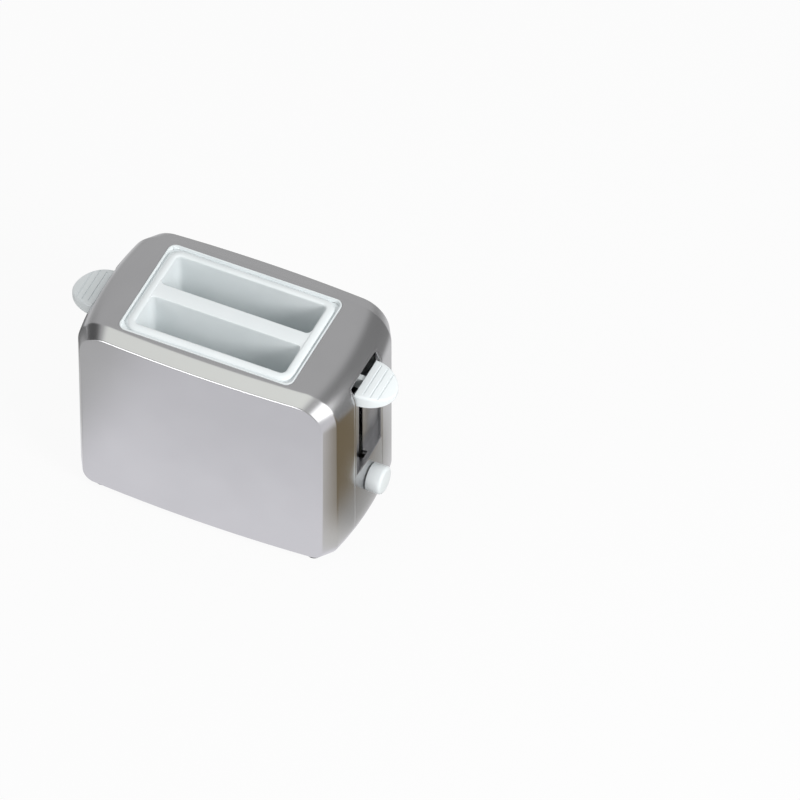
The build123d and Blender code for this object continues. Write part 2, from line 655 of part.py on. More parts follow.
# Latch: follower below its pivot, nose above, which swings over the tooth of the right arm
hook_inner_y = nose_tip_y + hook_overhang
with BuildPart() as latch_hook:
    with BuildSketch(Plane.YZ.offset(latch_x)):
        with Locations((pivot_y, pivot_z)):
            Circle(latch_boss_radius)
        with BuildLine():
            Polyline(
                (follower_y, knob_level - follower_half_height),
                (follower_y + follower_width, knob_level - follower_half_height),
                (pivot_y + latch_boss_radius, pivot_z),
                (hook_inner_y + hook_width, nose_low + nose_height),
                (hook_inner_y, nose_low + nose_height),
                (nose_tip_y, nose_low + nose_height / 2),
                (nose_tip_y, nose_low),
                (hook_inner_y, nose_low),
                (pivot_y - latch_neck, pivot_z + latch_boss_radius),
                (pivot_y - latch_boss_radius, pivot_z),
                (follower_y, knob_level + follower_half_height),
                close=True,
            )
        make_face()
    extrude(amount=latch_thickness)
    axle(pivot_radius + pivot_gap, (latch_x - over, latch_x + latch_thickness + over), pivot_y, pivot_z,
         Mode.SUBTRACT)
latch_hook.part.label = "latch_hook"
export_step(latch_hook.part, "parts/latch_hook.step")

# Cam on the knob's shaft: a round disc set off centre, with a hub that spaces it in the bracket
with BuildPart() as release_cam:
    axle(cam_radius, (latch_x, latch_x + latch_thickness), cam_y, cam_z)
    axle(cam_hub_radius, (cheeks[0] + cheek_thickness + seam, cheeks[1] - cheek_thickness - seam), 0,
         knob_level)
    axle(shaft_radius + thread_gap, (cheeks[0], cheeks[1]), 0, knob_level, Mode.SUBTRACT)
release_cam.part.label = "release_cam"
export_step(release_cam.part, "parts/release_cam.step")

# Shaft of the knob, through the panel and both cheeks, with a groove for its clip
with BuildPart() as knob_shaft:
    axle(shaft_radius, (shaft_inner_end, clip_slot[0]), 0, knob_level)
    axle(shaft_radius - clip_groove, clip_slot, 0, knob_level)
    axle(shaft_radius, (clip_slot[1], shaft_outer_end), 0, knob_level)
knob_shaft.part.label = "knob_shaft"
export_step(knob_shaft.part, "parts/knob_shaft.step")

# Ring clip that keeps the shaft in
with BuildPart() as shaft_clip:
    axle(clip_radius, (clip_slot[0] + clip_play, clip_slot[1] - clip_play), 0, knob_level)
    axle(shaft_radius - clip_groove + thread_gap, clip_slot, 0, knob_level, Mode.SUBTRACT)
shaft_clip.part.label = "shaft_clip"
export_step(shaft_clip.part, "parts/shaft_clip.step")

# Timer knob: a plain round cap pushed on the shaft
with BuildPart() as timer_knob:
    axle(knob_radius, (knob_back, knob_back + knob_length), 0, knob_level)
    fillet(timer_knob.edges().filter_by(GeomType.CIRCLE).sort_by(Axis.X)[-1], knob_round)
    axle(shaft_radius + thread_gap, (knob_back, knob_back + knob_bore_depth), 0, knob_level, Mode.SUBTRACT)
timer_knob.part.label = "timer_knob"
export_step(timer_knob.part, "parts/timer_knob.step")

# Screws that hold the bracket to the base plate
with BuildPart() as bracket_screws:
    for y in bracket_screw_ys:
        rod(small_screw_head, bracket_screw_x, y,
            (plate_top + bracket_foot, plate_top + bracket_foot + small_screw_head_height))
        rod(small_screw_shank, bracket_screw_x, y, (shell_bottom + seam, plate_top + bracket_foot))
bracket_screws.part.label = "bracket_screws"
export_step(bracket_screws.part, "parts/bracket_screws.step")
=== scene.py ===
"""Toy toaster: the skins, finishes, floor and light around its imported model.

Sizes are in millimetres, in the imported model's frame, and become metres where a mesh is made.
Each section makes one piece, or one group of like pieces, with its own sizes, mesh and finish.
"""
from math import cos, pi, radians, sin

import bmesh
import bpy
import numpy as np
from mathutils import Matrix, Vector


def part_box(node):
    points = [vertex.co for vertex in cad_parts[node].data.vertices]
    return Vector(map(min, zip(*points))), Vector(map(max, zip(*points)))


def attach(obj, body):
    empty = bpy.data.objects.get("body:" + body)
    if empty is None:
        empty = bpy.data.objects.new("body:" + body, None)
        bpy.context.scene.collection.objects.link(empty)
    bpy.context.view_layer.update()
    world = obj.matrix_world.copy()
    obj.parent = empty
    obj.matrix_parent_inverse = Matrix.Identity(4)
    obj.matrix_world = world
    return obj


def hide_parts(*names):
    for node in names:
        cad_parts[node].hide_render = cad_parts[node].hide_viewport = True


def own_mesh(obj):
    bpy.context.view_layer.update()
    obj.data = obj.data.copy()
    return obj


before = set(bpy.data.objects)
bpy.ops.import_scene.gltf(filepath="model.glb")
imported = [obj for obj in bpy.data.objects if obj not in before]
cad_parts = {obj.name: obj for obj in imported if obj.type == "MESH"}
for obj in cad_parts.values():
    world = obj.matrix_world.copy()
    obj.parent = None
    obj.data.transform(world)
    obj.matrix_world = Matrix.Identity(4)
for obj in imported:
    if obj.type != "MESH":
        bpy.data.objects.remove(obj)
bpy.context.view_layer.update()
millimetre = 0.001


# Camera: a long lens, far away, that looks down on the front and the timer end from the right.
# The aim point lies beside the toaster, so that the toaster stands left of the view's middle.
camera_azimuth, camera_elevation = radians(24.98), radians(47.27)
camera_distance = 7.4829
camera_lens = 617.7
aim_point = Vector((0.0824, 0.0355, 0.0616))
towards_aim = Vector((
    -sin(camera_azimuth) * cos(camera_elevation),
    cos(camera_azimuth) * cos(camera_elevation),
    -sin(camera_elevation),
))
camera = bpy.data.objects.new("camera", bpy.data.cameras.new("camera"))
bpy.context.scene.collection.objects.link(camera)
camera.data.lens = camera_lens
camera.data.sensor_width = 36.0
camera.data.clip_end = 20.0
camera.location = aim_point - towards_aim * camera_distance
camera.rotation_euler = towards_aim.to_track_quat("-Z", "Y").to_euler()
bpy.context.scene.camera = camera


# Housing: one moulding of silver plastic, open below and for the toast tray, notched at both ends.
# Its front and back are bowed panels with a bevel round them, and its ends bulge a little. Four
# screws hold the base plate in it.
class Finish:
    """A material with a Principled shader. node() adds any other node and gives its outputs."""

    def __init__(self, name):
        self.material = bpy.data.materials.new(name)
        self.material.use_nodes = True
        self.tree = self.material.node_tree
        self.shader = self.tree.nodes["Principled BSDF"]

    def node(self, kind, settings=(), values=()):
        """Adds a node, sets its settings first, then its sockets' values or links."""
        node = self.tree.nodes.new(kind)
        for key, value in dict(settings).items():
            setattr(node, key, value)
        for key, value in dict(values).items():
            self.put(node.inputs[key], value)
        return node.outputs

    def ramp(self, level, stops):
        """A Color Ramp on a level; stops are (position, (red, green, blue))."""
        outputs = self.node("ShaderNodeValToRGB", values={"Fac": level})
        elements = outputs["Color"].node.color_ramp.elements
        for place, (position, colour) in enumerate(stops):
            element = elements[place] if place < 2 else elements.new(position)
            element.position = position
            element.color = (*colour, 1.0)
        return outputs["Color"]

    def put(self, socket, value):
        """Links a Level or a socket to a socket, or sets its value."""
        if isinstance(value, Level):
            value = value.socket
        if isinstance(value, bpy.types.NodeSocket):
            self.tree.links.new(value, socket)
        else:
            socket.default_value = value

    def set(self, **sockets):
        """Puts values on the shader's sockets, named with underscores for spaces."""
        for key, value in sockets.items():
            self.put(self.shader.inputs[key.replace("_", " ")], value)

    def level(self, socket):
        """The number on a socket, ready for sums."""
        return Level(self, socket)

    def place(self, **mapping):
        """Object coordinates, scaled or turned by a Mapping node."""
        here = self.node("ShaderNodeTexCoord")["Object"]
        return self.node("ShaderNodeMapping", values={"Vector": here, **mapping})["Vector"]

    def noise(self, where, size, detail=2.0):
        """Noise with features of a size in millimetres."""
        values = {"Vector": where, "Scale": 1.0 / (size * millimetre), "Detail": detail}
        return self.level(self.node("ShaderNodeTexNoise", values=values)["Fac"])

    def bump(self, height, depth, below=None):
        """A normal from a height of 0 to 1 that stands for a depth in millimetres."""
        values = {"Height": height, "Distance": depth * millimetre, "Strength": 1.0}
        if below is not None:
            values["Normal"] = below
        return self.node("ShaderNodeBump", values=values)["Normal"]


class Level:
    """A number that changes over a surface: sums with it add Math nodes."""

    def __init__(self, finish, socket):
        self.finish, self.socket = finish, socket

    def maths(self, operation, *values):
        """One Math node on the values, in order."""
        outputs = self.finish.node("ShaderNodeMath", {"operation": operation}, dict(enumerate(values)))
        return Level(self.finish, outputs["Value"])

    def __add__(self, other):
        return self.maths("ADD", self, other)

    def __radd__(self, other):
        return self.maths("ADD", other, self)

    def __sub__(self, other):
        return self.maths("SUBTRACT", self, other)

    def __rsub__(self, other):
        return self.maths("SUBTRACT", other, self)

    def __mul__(self, other):
        return self.maths("MULTIPLY", self, other)

    def __rmul__(self, other):
        return self.maths("MULTIPLY", other, self)


def node_box(node):
    """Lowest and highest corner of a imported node, in millimetres."""
    low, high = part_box(node)
    return np.array(low) / millimetre, np.array(high) / millimetre


def grid_piece(name, grids, body, finish, replaced=(), soft_angle=40.0):
    """A piece from grids of points, each with whether its last column joins its first and its dropped faces.

    Points are rows by columns by xyz, and every four neighbours make a face, whose outer side is
    that of rows crossed with columns. Coincident points are joined, so poles and seams close.
    """
    vertices, faces, start = [], [], 0
    for points, closed, dropped in grids:
        rows, columns = points.shape[:2]
        last_column = columns if closed else columns - 1
        row, column = np.meshgrid(np.arange(rows - 1), np.arange(last_column), indexing="ij")
        first, beside = row * columns, (column + 1) % columns
        corners = (first + column, first + columns + column, first + columns + beside, first + beside)
        quads = start + np.stack(corners, -1)
        keep = np.ones(row.shape, bool) if dropped is None else ~dropped
        vertices.append(points.reshape(-1, 3))
        faces.append(quads[keep])
        start += rows * columns
    mesh = bpy.data.meshes.new(name)
    in_metres = np.concatenate(vertices) * millimetre
    mesh.from_pydata(in_metres.tolist(), [], np.concatenate(faces).tolist())
    joined = bmesh.new()
    joined.from_mesh(mesh)
    bmesh.ops.remove_doubles(joined, verts=joined.verts, dist=0.002 * millimetre)
    loose = [vertex for vertex in joined.verts if not vertex.link_faces]
    bmesh.ops.delete(joined, geom=loose, context="VERTS")
    joined.to_mesh(mesh)
    joined.free()
    piece = bpy.data.objects.new(name, mesh)
    bpy.context.scene.collection.objects.link(piece)
    mesh.materials.append(finish.material)
    mesh.shade_smooth()
    mesh.set_sharp_from_angle(angle=radians(soft_angle))
    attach(piece, body)
    if replaced:
        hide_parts(*replaced)
    return piece


def thicken(piece, thickness, edge=0.0):
    """Gives a skin its wall on the inside, and its open edges a small round."""
    wall = piece.modifiers.new("wall", "SOLIDIFY")
    wall.thickness = thickness * millimetre
    wall.offset = -1.0
    if edge:
        soften = piece.modifiers.new("soften", "BEVEL")
        soften.width = edge * millimetre
        soften.segments = 2
        soften.limit_method = "ANGLE"
        soften.angle_limit = radians(50.0)
        soften.use_clamp_overlap = True


silver = Finish("silver_plastic")
silver_place = silver.place()
silver_flake = silver.noise(silver_place, 0.16, detail=1.0)
silver_cloud = silver.noise(silver_place, 26.0, detail=2.0)
silver.set(
    Base_Color=silver.ramp(
        silver_cloud * 0.7 + silver_flake * 0.3,
        ((0.3, (0.575, 0.575, 0.585)), (0.7, (0.605, 0.605, 0.615))),
    ),
    Metallic=1.0,
    Roughness=0.20 + 0.05 * silver_flake + 0.04 * silver_cloud,
    Normal=silver.bump(silver_flake, 0.0012, silver.bump(silver_cloud, 0.02)),
    Coat_Weight=0.25,
    Coat_Roughness=0.12,
)

shell_low, shell_high = node_box("body_shell")
end_x = node_box("lever_panel_right")[1][0]
front_y = shell_low[1]
shell_bottom, shell_top = shell_low[2], shell_high[2]
end_bow, face_bow = 5.0, 3.1
top_radius, bottom_radius = 19.5, 10.0
bevel_inset, bevel_depth = 3.5, 8.5
crease_round = 0.8
shell_wall = 2.0
corner_x, corner_y = end_x - end_bow, -front_y - face_bow
end_arc = (corner_y ** 2 + end_bow ** 2) / (2 * end_bow)
face_arc = (corner_x ** 2 + face_bow ** 2) / (2 * face_bow)
notch_half_width = 17.2
notch_low_x, notch_high_x = 75.7, 77.0
arc_notch_share = 0.5
hole_centre, hole_half_x, hole_half_y, hole_radius = -2.3, 52.3, 34.8, 5.0
plate_half_x, plate_half_y, plate_radius = 66.2, 31.7, 5.0
top_patch_x, top_patch_y = 57.0, 35.0
bottom_patch_x, bottom_patch_y = 67.2, 33.5
knee_gap = 0.6


def end_at(y):
    """How far the bowed end reaches at y: a circle's arc through both corners."""
    return end_x - end_arc + np.sqrt(end_arc ** 2 - np.clip(y, -corner_y, corner_y) ** 2)


def face_at(x):
    """Y of the bowed front at x: a circle's arc through both corners."""
    return front_y + face_arc - np.sqrt(face_arc ** 2 - np.clip(x, -corner_x, corner_x) ** 2)


def eased(count):
    """Steps from 0 to 1 that crowd at 1, half even and half along a sine."""
    even = np.linspace(0, 1, count)
    return 0.5 * even + 0.5 * np.sin(even * pi / 2)


def rounded_path(corners, reach, steps=5):
    """A path through corners, each rounded by a parabola that starts and ends at a reach from it."""
    corners = np.array(corners, float)
    t = np.linspace(0, 1, steps)[:, None]
    pieces = [corners[:1]]
    for before, here, after, near in zip(corners, corners[1:], corners[2:], reach):
        first = here + (before - here) / np.linalg.norm(before - here) * near
        last = here + (after - here) / np.linalg.norm(after - here) * near
        pieces.append((1 - t) ** 2 * first + 2 * t * (1 - t) * here + t ** 2 * last)
    return np.concatenate(pieces + [corners[-1:]])


def outline_columns():
    """Columns of the outline's right half, from the middle of the bottom up to the middle of the top.

    Each column is (kind, share): how far along the bottom, a corner, an end or the top it stands.
    The notch and the patches have a column of their own at each edge.
    """
    half = [("bottom", s) for s in eased(20)]
    half += [("bottom_out", s) for s in np.linspace(0, 1, 3)[1:]]
    half += [("bottom_arc", s) for s in np.linspace(0, 1, 15)[1:]]
    half += [("end", s) for s in np.linspace(0, 1, 22)[1:]]
    half += [("top_arc", s) for s in np.linspace(0, 1, 25)[1:]]
    half += [("top_out", s) for s in np.linspace(0, 1, 4)[1:]]
    half += [("top", s) for s in eased(26)[::-1][1:]]
    return half


def outline_point(columns, y, inset):
    """X and Z of the outline's columns where the housing is cut at y, drawn in by an inset.

    Corners are quarter circles: x and z are the circle's centre plus its radius times the cosine
    and the sine. They are set so that one column meets the notch's edge midway along each.
    """
    kinds = np.array([kind for kind, share in columns])
    share = np.array([share for kind, share in columns])[None, :] * np.ones_like(y)
    reach = end_at(y)
    notch_reach = end_at(np.clip(y, -notch_half_width, notch_half_width))
    x, z = np.zeros_like(y), np.zeros_like(y)
    nx, nz = np.zeros_like(y), np.zeros_like(y)

    def arc_angle(radius, along, notch_x):
        knee = np.arccos((notch_x - (notch_reach - radius)) / radius)
        low = along / arc_notch_share * knee
        high = knee + (along - arc_notch_share) / (1 - arc_notch_share) * (pi / 2 - knee)
        return np.where(along < arc_notch_share, low, high)

    bottom_knee = reach - bottom_radius
    bottom_edge = np.minimum(bottom_patch_x, bottom_knee - knee_gap)
    here = kinds[None, :] == "bottom"
    x = np.where(here, share * bottom_edge, x)
    here_out = kinds[None, :] == "bottom_out"
    x = np.where(here_out, bottom_edge + share * (bottom_knee - bottom_edge), x)
    z = np.where(here | here_out, shell_bottom, z)
    nz = np.where(here | here_out, -1.0, nz)

    here = kinds[None, :] == "bottom_arc"
    turned = arc_angle(bottom_radius, 1 - share, notch_low_x)
    x = np.where(here, reach - bottom_radius + bottom_radius * np.cos(turned), x)
    z = np.where(here, shell_bottom + bottom_radius - bottom_radius * np.sin(turned), z)
    nx = np.where(here, np.cos(turned), nx)
    nz = np.where(here, -np.sin(turned), nz)

    here = kinds[None, :] == "end"
    x = np.where(here, reach, x)
    low_end, high_end = shell_bottom + bottom_radius, shell_top - top_radius
    z = np.where(here, low_end + share * (high_end - low_end), z)
    nx = np.where(here, 1.0, nx)

    here = kinds[None, :] == "top_arc"
    turned = arc_angle(top_radius, share, notch_high_x)
    x = np.where(here, reach - top_radius + top_radius * np.cos(turned), x)
    z = np.where(here, shell_top - top_radius + top_radius * np.sin(turned), z)
    nx = np.where(here, np.cos(turned), nx)
    nz = np.where(here, np.sin(turned), nz)

    top_knee = reach - top_radius
    top_edge = np.minimum(top_patch_x, top_knee - knee_gap)
    here = kinds[None, :] == "top"
    x = np.where(here, share * top_edge, x)
    here_out = kinds[None, :] == "top_out"
    x = np.where(here_out, top_knee + share * (top_edge - top_knee), x)
    z = np.where(here | here_out, shell_top, z)
    nz = np.where(here | here_out, 1.0, nz)
    return x - inset * nx, z - inset * nz


def housing_rows(columns):
    """Front half of the housing as rows from the middle of the front face to y = 0.

    The face is rings drawn towards its middle, then come the bevel with its two soft creases and
    the side, whose rows straighten out at the patches' and the notch's edges. The bevel's y hangs
    on x and its x on y, so both are worked out a few times until they settle.
    """
    count = len(columns)
    bevel = rounded_path(
        ((0, bevel_inset + 2 * crease_round), (0, bevel_inset), (bevel_depth, 0), (bevel_depth + 1, 0)),
        (crease_round, crease_round),
    )[1:-1]
    depth, inset = bevel[:, 0], bevel[:, 1]
    y = np.full((len(depth), count), float(face_at(0.0)))
    for settling in range(4):
        x, z = outline_point(columns, y, inset[:, None])
        y = face_at(x) + depth[:, None]
    bevel_rows = np.stack([x, y, z], -1)
    rim = bevel_rows[:1]
    middle = np.array([0.0, 0.0, (shell_bottom + shell_top) / 2])
    drawn = np.array([1.0, 0.9, 0.75, 0.55, 0.35, 0.2, 0.1, 0.05, 0.02, 0.008])[:, None]
    ring_x = rim[..., 0] * (1 - drawn)
    ring_z = middle[2] + (rim[..., 2] - middle[2]) * (1 - drawn)
    face_rows = np.stack([ring_x, face_at(ring_x), ring_z], -1)
    last = bevel_rows[-1, :, 1]
    side_y = [np.maximum(-top_patch_y, last + 0.15), np.full(count, -bottom_patch_y)]
    side_y += [np.full(count, -bottom_patch_y + s * (bottom_patch_y - notch_half_width))
               for s in 1 - eased(14)[::-1][1:]]
    side_y += [np.full(count, -notch_half_width * s) for s in 1 - np.linspace(0, 1, 9)[1:]]
    side_y = np.array(side_y)
    x, z = outline_point(columns, side_y, 0.0)
    side_rows = np.stack([x, side_y, z], -1)
    return np.concatenate([face_rows, bevel_rows, side_rows])


right_columns = outline_columns()
right_rows = housing_rows(right_columns)
left_rows = right_rows[:, ::-1] * np.array([-1.0, 1.0, 1.0])
front_half = np.concatenate([right_rows, left_rows[:, 1:-1]], 1)
back_half = front_half[::-1][1:] * np.array([1.0, -1.0, 1.0])
housing_points = np.concatenate([front_half, back_half])
column_kind = [kind for kind, share in right_columns]
column_kind = column_kind + column_kind[::-1][1:-1]
in_top = np.array([kind == "top" for kind in column_kind])
in_bottom = np.array([kind == "bottom" for kind in column_kind])
share_of = [share for kind, share in right_columns]
share_of = share_of + share_of[::-1][1:-1]
in_notch = np.array([
    kind == "end" or (kind == "top_arc" and share <= arc_notch_share + 0.001)
    or (kind == "bottom_arc" and share >= 1 - arc_notch_share - 0.001)
    for kind, share in zip(column_kind, share_of)
])
next_column = np.roll(np.arange(len(column_kind)), -1)


def face_mask(rows_inside, columns_inside):
    """Faces whose corners all lie in the chosen rows and columns."""
    by_row = rows_inside[:-1] & rows_inside[1:]
    by_column = columns_inside & columns_inside[next_column]
    return by_row[:, None] & by_column[None, :]


# Where the flat patches and the notch lie: the side's rows from each patch's edge to y = 0
top_patch_rows, bottom_patch_rows = 23, 22
row_number = np.arange(len(housing_points))
row_number = np.minimum(row_number, row_number[::-1])
in_top_rows = row_number >= len(right_rows) - top_patch_rows
in_bottom_rows = row_number >= len(right_rows) - bottom_patch_rows
in_notch_rows = in_bottom_rows & (np.abs(housing_points[:, 0, 1]) <= notch_half_width + 0.001)
top_rim = np.array([kind == "top_out" and share > 0.999 for kind, share in zip(column_kind, share_of)])
dropped = face_mask(in_top_rows, in_top | top_rim)
dropped |= face_mask(in_bottom_rows, in_bottom)
dropped |= face_mask(in_notch_rows, in_notch)


def patch_ring(half_x, half_y, x_steps, y_steps, z, hole, hole_centre_x, radius, upwards):
    """A flat ring from a rectangle to a rounded hole.

    Both outlines share one walk round them, and the rows between are their weighted mean.
    """
    west, south = -np.ones_like(y_steps), -np.ones_like(x_steps)
    walk = np.concatenate([
        np.stack([x_steps / half_x, south], -1)[:-1],
        np.stack([-west, y_steps / half_y], -1)[:-1],
        np.stack([-x_steps / half_x, -south], -1)[:-1],
        np.stack([west, -y_steps / half_y], -1)[:-1],
    ])
    outer = walk * (half_x, half_y)
    sharp = walk * hole
    core = np.clip(sharp, -(np.array(hole) - radius), np.array(hole) - radius)
    out = sharp - core
    inner = core + out / np.linalg.norm(out, axis=1, keepdims=True) * radius + (hole_centre_x, 0)
    t = np.linspace(0, 1, 4)[:, None, None]
    flat = outer * (1 - t) + inner * t
    points = np.concatenate([flat, np.full(flat.shape[:2] + (1,), z)], -1)
    return points[::-1] if upwards else points


def both_ways(steps):
    """Steps on both sides of 0, in order and each once."""
    return np.unique(np.round(np.concatenate([-steps, steps]), 6))


top_steps, bottom_steps = both_ways(eased(26) * top_patch_x), both_ways(eased(20) * bottom_patch_x)
top_ring = patch_ring(top_patch_x, top_patch_y, top_steps, housing_points[in_top_rows, 0, 1], shell_top,
                      (hole_half_x, hole_half_y), hole_centre, hole_radius, True)
bottom_ring = patch_ring(bottom_patch_x, bottom_patch_y, bottom_steps,
                         housing_points[in_bottom_rows, 0, 1], shell_bottom,
                         (plate_half_x, plate_half_y), 0.0, plate_radius, False)
housing_shell = grid_piece(
    "housing_shell",
    [(housing_points, True, dropped), (top_ring, True, None), (bottom_ring, True, None)],
    "housing", silver, replaced=("body_shell",),
)
thicken(housing_shell, shell_wall, edge=0.3)


# Lever panels: a silver moulding fills the notch at each end. Above its ledge it steps in to a
# recess that the lever's arm runs down, with a slot for the arm and thin rims beside it, and
# the recess's floor is open above the ear.
recess_x = end_x - 5.5
panel_half_width, panel_rim_y = 17.0, 15.6
ledge_z, ledge_notch_x, ledge_notch_y, ledge_notch_z = 50.4, 78.0, 3.0, 48.4
lever_slot_y, window_y, window_z = 2.4, 15.6, 104.0
panel_top = 117.3
panel_wall = 1.2


def panel_outside(y, z):
    """X of the housing's outer form at y and z on its end: the bow, and quarter circles above and below."""
    low = np.clip(shell_bottom + bottom_radius - z, 0, bottom_radius)
    high = np.clip(z - shell_top + top_radius, 0, top_radius)
    back = bottom_radius - np.sqrt(bottom_radius ** 2 - low ** 2)
    return end_at(y) - back - (top_radius - np.sqrt(top_radius ** 2 - high ** 2))


def lever_panel_points():
    """Panel at the right end as rows up it and columns across it.

    X is the outer form, less the smaller of a row's and a column's depth, but never behind the
    recess's floor. Rows with a depth below 0 shape the pocket in the ledge's edge, and the last
    two of them leave it open where the lever's slot runs. Columns and rows with the same place
    and another depth make the walls.
    """
    across = [(panel_half_width, 1.6), (panel_half_width, 0.25), (16.93, 0.07), (16.75, 0.0), (16.3, 0.0),
              (15.85, 0.0), (15.67, 0.07), (panel_rim_y, 0.25), (panel_rim_y, 3.0), (panel_rim_y, 9.0),
              (15.3, 9.0), (11.0, 9.0), (7.0, 9.0), (4.0, 9.0), (ledge_notch_y, 9.0),
              (ledge_notch_y, 9.01), (lever_slot_y, 9.01)]
    across = np.array([(-y, d) for y, d in across] + [(0.0, 9.01)] + across[::-1])
    up = [(z, 0.0) for z in (3.3, 3.9, 4.7, 5.7, 6.9, 8.4, 10.1, 12.0, 18.0, 26.0, 35.0, 42.0, 47.0, 49.8)]
    up += [(50.15, 0.0), (50.33, 0.07), (ledge_z, 0.25), (ledge_z, 1.2)]
    up = np.array(up + [(ledge_z, -1.0), (ledge_z, -2.0), (ledge_z, -3.0), (ledge_z, 9.0)]
                  + [(z, 9.0) for z in np.linspace(50.8, window_z, 24)]
                  + [(z, 9.0) for z in np.linspace(window_z, panel_top, 11)[1:]])
    y, column_depth = across[None, :, 0], across[None, :, 1]
    z, row_depth = up[:, None, 0] * np.ones_like(y), up[:, None, 1] * np.ones_like(y)
    special = row_depth < 0
    depth = np.minimum(np.where(special, 9.0, row_depth), column_depth)
    x = np.maximum(recess_x, panel_outside(y, z) - depth)
    inside_rims = np.abs(y) <= panel_rim_y - 0.001
    notch = (np.abs(y) <= ledge_notch_y) & (column_depth > 9.0)
    ledge_edge = (row_depth == -1.0) | (row_depth == -2.0)
    x = np.where(ledge_edge & inside_rims, ledge_notch_x, x)
    z = np.where(notch & ((row_depth == -2.0) | (row_depth == -3.0)), ledge_notch_z, z)
    points = np.stack([x, y * np.ones_like(x), z], -1)
    middle_y, low_z = np.abs(y[:, :-1] + y[:, 1:]) / 2, z[:-1, :-1]
    low_depth = row_depth[:-1, :-1]
    open_here = (middle_y < lever_slot_y) & (low_z >= ledge_z - 0.001)
    open_here |= (middle_y < window_y - 0.001) & (low_z >= window_z - 0.001)
    open_here &= low_depth == 9.0
    open_here |= (middle_y < lever_slot_y) & ((low_depth == -2.0) | (low_depth == -3.0))
    return points, open_here


panel_points, panel_slot = lever_panel_points()
for end, turn in (("right", 1.0), ("left", -1.0)):
    placed = panel_points * (turn, turn, 1.0)
    panel = grid_piece("panel_skin_" + end, [(placed[::-1], False, panel_slot[::-1])], "housing",
                       silver, replaced=("lever_panel_" + end,))
    thicken(panel, panel_wall, edge=0.12)


# Toast tray: one glossy white moulding. A lip lies in the housing's opening, then come a shallow
# groove and a raised bead round both slots, the bridge between them, and the two open wells.
white = Finish("white_plastic")
white_place = white.place()
white_cloud = white.noise(white_place, 18.0, detail=2.0)
white.set(
    Base_Color=white.ramp(white_cloud, ((0.3, (0.775, 0.82, 0.83)), (0.7, (0.805, 0.845, 0.855)))),
    Roughness=0.30 + 0.06 * white_cloud,
    Normal=white.bump(white_cloud, 0.03),
    Specular_IOR_Level=0.45,
)

tray_x = -2.3
slot_half_x, slots_half_y, slot_radius = 45.0, 27.5, 3.0
bridge_half_y, bridge_top, bridge_round = 5.0, 126.2, 0.6
well_y, well_foot, window_half_y, window_top = 16.25, 4.0, 3.2, 70.0
collar_top, bead_foot, bead_crown, slot_edge = 126.3, 124.2, 126.6, 125.6
bead_width, bead_outer_width, bead_crown_width = 5.2, 3.4, 0.4
corner_core_x, bridge_foot_y, tray_wall = slot_half_x - slot_radius, bridge_half_y + slot_radius, 1.6


def tray_walk():
    """Columns of a ring, clockwise from above: (core x share, core y share, normal's angle).

    The core is the rectangle on which the corners' quarter circles have their centres.
    """
    long_side = np.linspace(-1, 1, 29)
    core_y = slots_half_y - slot_radius
    down = np.array([core_y, 22.0, 19.45, well_y, 13.05, 10.5, bridge_foot_y])
    between = np.linspace(bridge_foot_y, -bridge_foot_y, 7)[1:-1]
    end_side = np.concatenate([down, between, -down[::-1]]) / core_y
    arc = np.linspace(0, 1, 9)[1:-1]
    one, walk = np.ones_like, []
    for turn, along in enumerate((long_side, end_side, long_side, end_side)):
        angle = pi / 2 - turn * pi / 2
        whole = one(along)
        shares = ((along, whole), (whole, along), (-along, -whole), (-whole, -along))[turn]
        walk.append(np.stack([*shares, angle * whole], -1))
        corner = ((1, 1), (1, -1), (-1, -1), (-1, 1))[turn]
        walk.append(np.stack([corner[0] * one(arc), corner[1] * one(arc), angle - arc * pi / 2], -1))
    return np.concatenate(walk)


def ring_loops(walk, profile):
    """Rows of rounded rectangles: the core's share of x and y, plus the radius along the normal.

    The profile is rows of (half x, half y, corner radius, z).
    """
    half_x, half_y, radius, z = (np.array(profile)[:, i:i + 1] for i in range(4))
    x = tray_x + (half_x - radius) * walk[:, 0] + radius * np.cos(walk[:, 2])
    y = (half_y - radius) * walk[:, 1] + radius * np.sin(walk[:, 2])
    return np.stack([x, y, z * np.ones_like(x)], -1)


collar = [(55.3, 34.7, 10.0, 124.0), (52.25, 34.65, 5.0, 124.0), (52.1, 34.6, 4.8, 124.15),
          (52.1, 34.6, 4.8, 126.05), (52.03, 34.53, 4.73, 126.23), (51.85, 34.35, 4.55, collar_top),
          (51.45, 33.95, 4.15, collar_top), (51.27, 33.77, 3.97, 126.23), (51.2, 33.7, 3.9, 126.05),
          (51.2, 33.7, 3.9, 124.35), (51.05, 33.55, 3.75, bead_foot), (50.35, 32.85, 8.2, bead_foot)]
turn = np.linspace(0, pi / 2, 11)
bead_out = np.stack([bead_outer_width * (1 - np.cos(turn)),
                     bead_foot + (bead_crown - bead_foot) * np.sin(turn)], -1)
inner_width = bead_width - bead_outer_width - bead_crown_width
turn = np.linspace(0, pi / 2, 7)
bead_in = np.stack([bead_outer_width + bead_crown_width + inner_width * np.sin(turn),
                    bead_crown - (bead_crown - slot_edge) * (1 - np.cos(turn))], -1)
collar += [(slot_half_x + bead_width - d, slots_half_y + bead_width - d, slot_radius + bead_width - d, z)
           for d, z in np.concatenate([bead_out, bead_in])]
tray_grids = [(ring_loops(tray_walk(), collar), True, None)]

